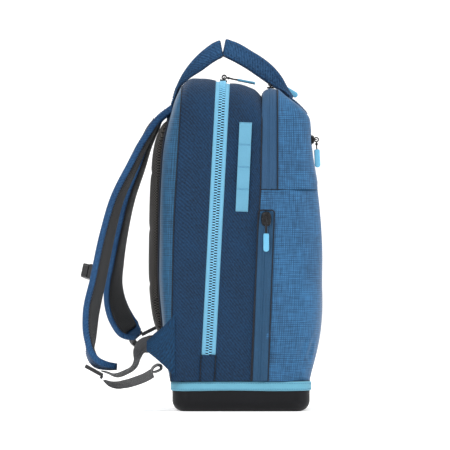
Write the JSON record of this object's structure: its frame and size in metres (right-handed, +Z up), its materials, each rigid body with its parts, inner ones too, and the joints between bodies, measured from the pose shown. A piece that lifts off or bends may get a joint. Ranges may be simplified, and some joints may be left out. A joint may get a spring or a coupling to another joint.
{
  "type": "racket backpack",
  "caption": "Upright backpack for rackets and kit: moulded base tray, wrap-around main zip, zipped front pockets, padded straps and paired grab handles.",
  "frame": {"origin": "centre of the base tray's flat underside", "axes": "+Z up, +X towards the pocket side, -X towards the wearer's back, -Y towards the wearer's left"},
  "size_m": [0.3617, 0.3336, 0.559],
  "materials": {
    "base_plastic": "satin moulded",
    "trim_tape": "ribbed woven tape",
    "zip_teeth": "moulded teeth",
    "stiffener": "board",
    "navy_fabric": "twill",
    "blue_fabric": "fine plain weave",
    "coil_zip": "woven zip tape with a nylon coil",
    "lining": "brushed lining",
    "mesh": "spacer mesh",
    "handle_fabric": "padded twill",
    "strap_fabric": "twill",
    "webbing": "ribbed webbing",
    "black_plastic": "moulded",
    "slider_metal": "black coated",
    "pull_rubber": "soft rubber tab on a cord"
  },
  "bodies": {
    "bag": {"base_tray": "base_plastic", "base_board": "stiffener", "base_binding": "trim_tape", "rear_gusset": "navy_fabric", "zip_end_patches": "navy_fabric", "main_zip_tape_rear": "trim_tape", "main_zip_teeth_rear": "zip_teeth", "back_border": "blue_fabric", "frame_sheet": "stiffener", "laptop_sleeve": "lining", "racket_divider": "lining", "back_pad_left": "mesh", "back_pad_right": "mesh", "wing_left": "blue_fabric", "wing_right": "blue_fabric", "lower_gusset": "navy_fabric", "lower_front": "blue_fabric", "webbing_left": "webbing", "webbing_right": "webbing"},
    "front_half": {"front_gusset": "navy_fabric", "main_zip_tape_front": "trim_tape", "main_zip_teeth_front": "zip_teeth", "bulkhead": "lining", "front_shell": "blue_fabric", "front_cover": "blue_fabric", "compartment_zip": "coil_zip", "front_pocket_zip": "coil_zip", "side_zip_left": "coil_zip", "side_zip_right": "coil_zip", "side_pocket_bag_left": "lining", "side_pocket_bag_right": "lining", "front_pocket_bag": "lining", "daisy_chain": "trim_tape"},
    "rear_handle": {"rear_handle": "handle_fabric"},
    "front_handle": {"front_handle": "handle_fabric"},
    "strap_left": {"strap_cover_left": "strap_fabric", "strap_pad_left": "mesh", "tail_left": "webbing"},
    "ladder_lock_left": {"ladder_lock_left": "black_plastic"},
    "sternum_clip_left": {"sternum_clip_left": "black_plastic"},
    "sternum_buckle_left": {"sternum_buckle_left": "black_plastic"},
    "strap_right": {"strap_cover_right": "strap_fabric", "strap_pad_right": "mesh", "tail_right": "webbing"},
    "ladder_lock_right": {"ladder_lock_right": "black_plastic"},
    "sternum_clip_right": {"sternum_clip_right": "black_plastic"},
    "sternum_buckle_right": {"sternum_buckle_right": "black_plastic"},
    "main_left_slider": {"main_left_slider": "slider_metal"},
    "main_left_pull": {"main_left_pull": "pull_rubber"},
    "main_right_slider": {"main_right_slider": "slider_metal"},
    "main_right_pull": {"main_right_pull": "pull_rubber"},
    "compartment_slider": {"compartment_slider": "slider_metal"},
    "compartment_pull": {"compartment_pull": "pull_rubber"},
    "side_left_slider": {"side_left_slider": "slider_metal"},
    "side_left_pull": {"side_left_pull": "pull_rubber"},
    "side_right_slider": {"side_right_slider": "slider_metal"},
    "side_right_pull": {"side_right_pull": "pull_rubber"},
    "front_slider": {"front_slider": "slider_metal"},
    "front_pull": {"front_pull": "pull_rubber"}
  },
  "joints": [
    {"name": "clamshell", "type": "hinge", "parent": "bag", "child": "front_half", "pos_m": [-0.049, 0, 0.078], "axis": [0, 1, 0], "range_deg": [0, 16], "deforming": ["lower_gusset", "lower_front"]},
    {"name": "rear_handle_fold", "type": "hinge", "parent": "bag", "child": "rear_handle", "pos_m": [-0.1005, 0, 0.4695], "axis": [0, -1, 0], "range_deg": [0, 75]},
    {"name": "front_handle_fold", "type": "hinge", "parent": "front_half", "child": "front_handle", "pos_m": [0.077, 0, 0.4705], "axis": [0, 1, 0], "range_deg": [0, 75]},
    {"name": "strap_left_swing", "type": "hinge", "parent": "bag", "child": "strap_left", "pos_m": [-0.106, -0.062, 0.4555], "axis": [0, 1, 0], "range_deg": [0, 10], "deforming": ["webbing_left"]},
    {"name": "ladder_lock_left_tilt", "type": "hinge", "parent": "strap_left", "child": "ladder_lock_left", "pos_m": [-0.23189, -0.106, 0.06674], "axis": [0, 1, 0], "range_deg": [-5, 12]},
    {"name": "sternum_left_slide", "type": "slide", "parent": "strap_left", "child": "sternum_clip_left", "axis": [0.2048, 0.0871, 0.9749], "range_m": [-0.012, 0.012]},
    {"name": "buckle_left_swing", "type": "hinge", "parent": "sternum_clip_left", "child": "sternum_buckle_left", "pos_m": [-0.22163, -0.07626, 0.20558], "axis": [-0.2048, -0.0871, -0.9749], "range_deg": [0, 140]},
    {"name": "strap_right_swing", "type": "hinge", "parent": "bag", "child": "strap_right", "pos_m": [-0.106, 0.062, 0.4555], "axis": [0, 1, 0], "range_deg": [0, 10], "deforming": ["webbing_right"]},
    {"name": "ladder_lock_right_tilt", "type": "hinge", "parent": "strap_right", "child": "ladder_lock_right", "pos_m": [-0.12638, 0.121, 0.12381], "axis": [0, 1, 0], "range_deg": [-5, 1.5]},
    {"name": "sternum_right_slide", "type": "slide", "parent": "strap_right", "child": "sternum_clip_right", "axis": [0.1066, -0.0426, 0.9934], "range_m": [-0.005, 0.012]},
    {"name": "buckle_right_swing", "type": "hinge", "parent": "sternum_clip_right", "child": "sternum_buckle_right", "pos_m": [-0.20936, 0.07965, 0.21312], "axis": [0.1066, -0.0426, 0.9934], "range_deg": [0, 140]},
    {"name": "main_left_zip_slide", "type": "slide", "parent": "bag", "child": "main_left_slider", "axis": [0, -1, 0], "range_m": [0, 0.084]},
    {"name": "main_left_pull_swing", "type": "hinge", "parent": "main_left_slider", "child": "main_left_pull", "pos_m": [-0.02523, -0.0125, 0.50255], "axis": [0, -1, 0], "range_deg": [0, 70]},
    {"name": "main_right_zip_slide", "type": "slide", "parent": "bag", "child": "main_right_slider", "axis": [0, 1, 0], "range_m": [0, 0.084]},
    {"name": "main_right_pull_swing", "type": "hinge", "parent": "main_right_slider", "child": "main_right_pull", "pos_m": [-0.02523, 0.0125, 0.50255], "axis": [0, -1, 0], "range_deg": [0, 70]},
    {"name": "compartment_zip_slide", "type": "slide", "parent": "front_half", "child": "compartment_slider", "axis": [0, 1, 0], "range_m": [0, 0.075]},
    {"name": "compartment_pull_swing", "type": "hinge", "parent": "compartment_slider", "child": "compartment_pull", "pos_m": [0.045, -0.03, 0.4918], "axis": [0, -1, 0], "range_deg": [0, 70]},
    {"name": "side_left_zip_slide", "type": "slide", "parent": "front_half", "child": "side_left_slider", "axis": [-0.038, 0, -0.9993], "range_m": [0, 0.15]},
    {"name": "side_left_pull_swing", "type": "hinge", "parent": "side_left_slider", "child": "side_left_pull", "pos_m": [0.03754, -0.1628, 0.288], "axis": [-1, 0, 0], "range_deg": [0, 140]},
    {"name": "side_right_zip_slide", "type": "slide", "parent": "front_half", "child": "side_right_slider", "axis": [-0.038, 0, -0.9993], "range_m": [0, 0.15]},
    {"name": "side_right_pull_swing", "type": "hinge", "parent": "side_right_slider", "child": "side_right_pull", "pos_m": [0.03754, 0.1628, 0.288], "axis": [1, 0, 0], "range_deg": [0, 140]},
    {"name": "front_zip_slide", "type": "slide", "parent": "front_half", "child": "front_slider", "axis": [0, 1, 0], "range_m": [0, 0.21]},
    {"name": "front_pull_swing", "type": "hinge", "parent": "front_slider", "child": "front_pull", "pos_m": [0.1129, -0.118, 0.407], "axis": [0, -1, 0], "range_deg": [0, 120]}
  ]
}
